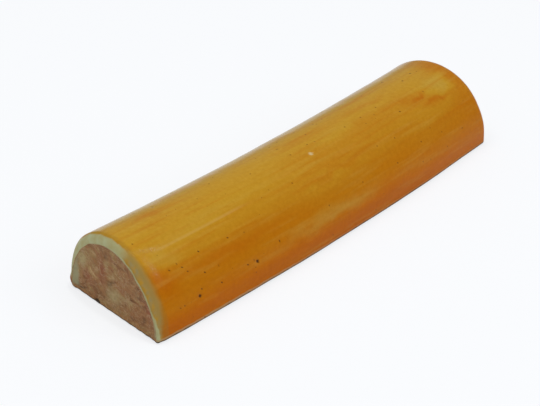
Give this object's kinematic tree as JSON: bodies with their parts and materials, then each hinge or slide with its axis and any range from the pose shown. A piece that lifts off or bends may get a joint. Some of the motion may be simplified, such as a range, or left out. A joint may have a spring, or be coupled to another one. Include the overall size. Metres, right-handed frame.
{
  "type": "pencil liner tile",
  "caption": "Half-round glazed ceramic trim tile with short straight sides and a flat unglazed back, laid end to end as a narrow raised border between field tiles.",
  "frame": {"origin": "middle of the flat back, at the bottom centre of the bounding box", "axes": "+X along the length, +Y across the width, +Z out of the back towards the crown of the arch"},
  "size_m": [0.1042, 0.029, 0.0165],
  "materials": {
    "honey_glaze": "glossy honey-amber glaze, streaked and lightly pinholed, over white slip on a pink-buff clay body that shows bare on the ends and the back"
  },
  "bodies": {
    "root": {"liner_tile": "honey_glaze"}
  },
  "joints": []
}
